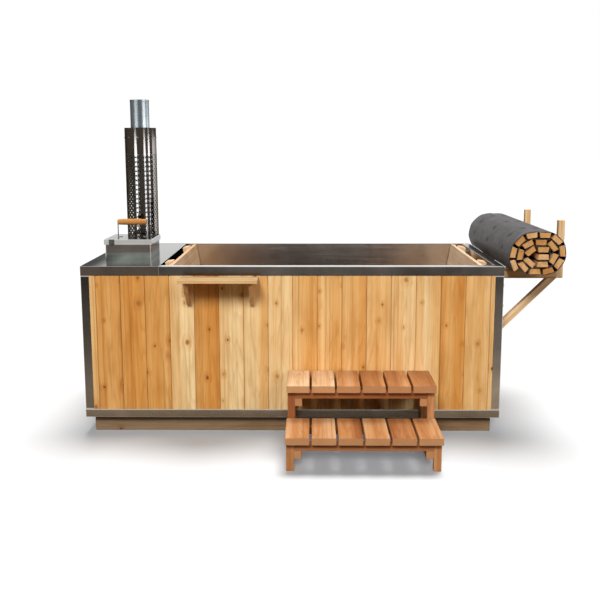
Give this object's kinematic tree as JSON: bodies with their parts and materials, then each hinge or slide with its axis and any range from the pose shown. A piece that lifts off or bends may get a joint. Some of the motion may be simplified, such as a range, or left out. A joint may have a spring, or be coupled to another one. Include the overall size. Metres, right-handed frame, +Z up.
{
  "type": "wood-burning hot tub",
  "caption": "Rectangular boarded steel hot tub with a submerged wood stove, hatch, shielded flue, leaning inner panels, drinks shelf, rolled cover on a rack and free-standing steps.",
  "frame": {"origin": "middle of the tub's footprint, on the floor it stands on", "axes": "+X to the right along the tub, from the stove end to the cover rack; +Y from the side with the steps to the back; +Z up"},
  "size_m": [2.312, 1.595, 1.611],
  "materials": {
    "tub_steel": "polished stainless sheet, near mirror",
    "frame_steel": "satin stainless angle",
    "plinth_steel": "grey-brown satin paint",
    "cladding_wood": "oiled softwood boards of varied honey and amber tone",
    "panel_wood": "planed pale softwood",
    "hidden_timber": "sawn softwood",
    "stove_steel": "dull stainless plate, welded",
    "grate_iron": "raw cast iron",
    "seal_rope": "braided glass rope",
    "fixing_steel": "plain stainless fixings",
    "grip_wood": "turned pale wood, oiled",
    "flue_zinc": "bluish grey galvanised steel",
    "shield_steel": "polished stainless, pierced",
    "pale_timber": "planed pale softwood",
    "cover_wood": "planed pale softwood slats",
    "cover_vinyl": "charcoal vinyl-coated cloth",
    "valve_brass": "machined brass",
    "lever_paint": "black dip coat",
    "step_timber": "reddish brown cedar"
  },
  "bodies": {
    "tub": {"rim_front": "tub_steel", "rim_back": "tub_steel", "rim_right": "tub_steel", "stove_deck": "tub_steel", "hatch_box": "tub_steel", "basin": "tub_steel", "panel_clips": "tub_steel", "bottom_rail_front": "frame_steel", "bottom_rail_back": "frame_steel", "bottom_rail_left": "frame_steel", "bottom_rail_right": "frame_steel", "corner_posts": "frame_steel", "plinth_skirt": "plinth_steel", "cladding_front": "cladding_wood", "cladding_back": "cladding_wood", "cladding_left": "cladding_wood", "cladding_right": "cladding_wood", "stove_fence": "panel_wood", "stove_fence_battens": "panel_wood", "backrest": "panel_wood", "backrest_battens": "panel_wood", "plinth_bearers": "hidden_timber", "floor_panel": "hidden_timber", "girts": "hidden_timber", "firebox": "stove_steel", "firebox_feet": "stove_steel", "flue_collar": "stove_steel", "fire_grate": "grate_iron", "lid_seal": "seal_rope", "hinge_leaf_box": "fixing_steel", "hinge_pin": "fixing_steel", "shield_spacers": "fixing_steel", "shield_screws": "fixing_steel", "shelf_screws": "fixing_steel", "rack_bolts": "fixing_steel", "flue_pipe": "flue_zinc", "heat_shield": "shield_steel", "shelf_board": "pale_timber", "shelf_brackets": "pale_timber", "rack_arms": "pale_timber", "rack_posts": "pale_timber", "rack_struts": "pale_timber", "rack_battens": "pale_timber", "drain_fitting": "valve_brass", "drain_valve_body": "valve_brass", "drain_outlet": "valve_brass"},
    "lid": {"hatch_lid": "tub_steel", "hinge_leaf_lid": "fixing_steel", "lid_handle_brackets": "fixing_steel", "lid_handle_grip": "grip_wood", "lid_catch": "tub_steel"},
    "drain_handle": {"drain_ball": "valve_brass", "drain_lever": "lever_paint"},
    "cover": {"cover_slats": "cover_wood", "cover_cloth": "cover_vinyl"},
    "steps": {"step_lower_slats": "step_timber", "step_upper_slats": "step_timber", "step_legs": "step_timber", "step_bearers": "step_timber", "step_rails": "step_timber"}
  },
  "joints": [
    {"name": "lid_hinge", "type": "hinge", "parent": "tub", "child": "lid", "pos_m": [-0.823, 0.039, 0.889], "axis": [-1, 0, 0], "range_deg": [0, 55]},
    {"name": "drain_turn", "type": "hinge", "parent": "tub", "child": "drain_handle", "pos_m": [1.06, 0.25, 0.19], "axis": [0, 0, 1], "range_deg": [0, 90]},
    {"name": "cover_lift", "type": "slide", "parent": "tub", "child": "cover", "axis": [0, 0, 1], "range_m": [0, 0.26]},
    {"name": "steps_shift", "type": "slide", "parent": "tub", "child": "steps", "axis": [0, -1, 0], "range_m": [0, 0.3]}
  ]
}
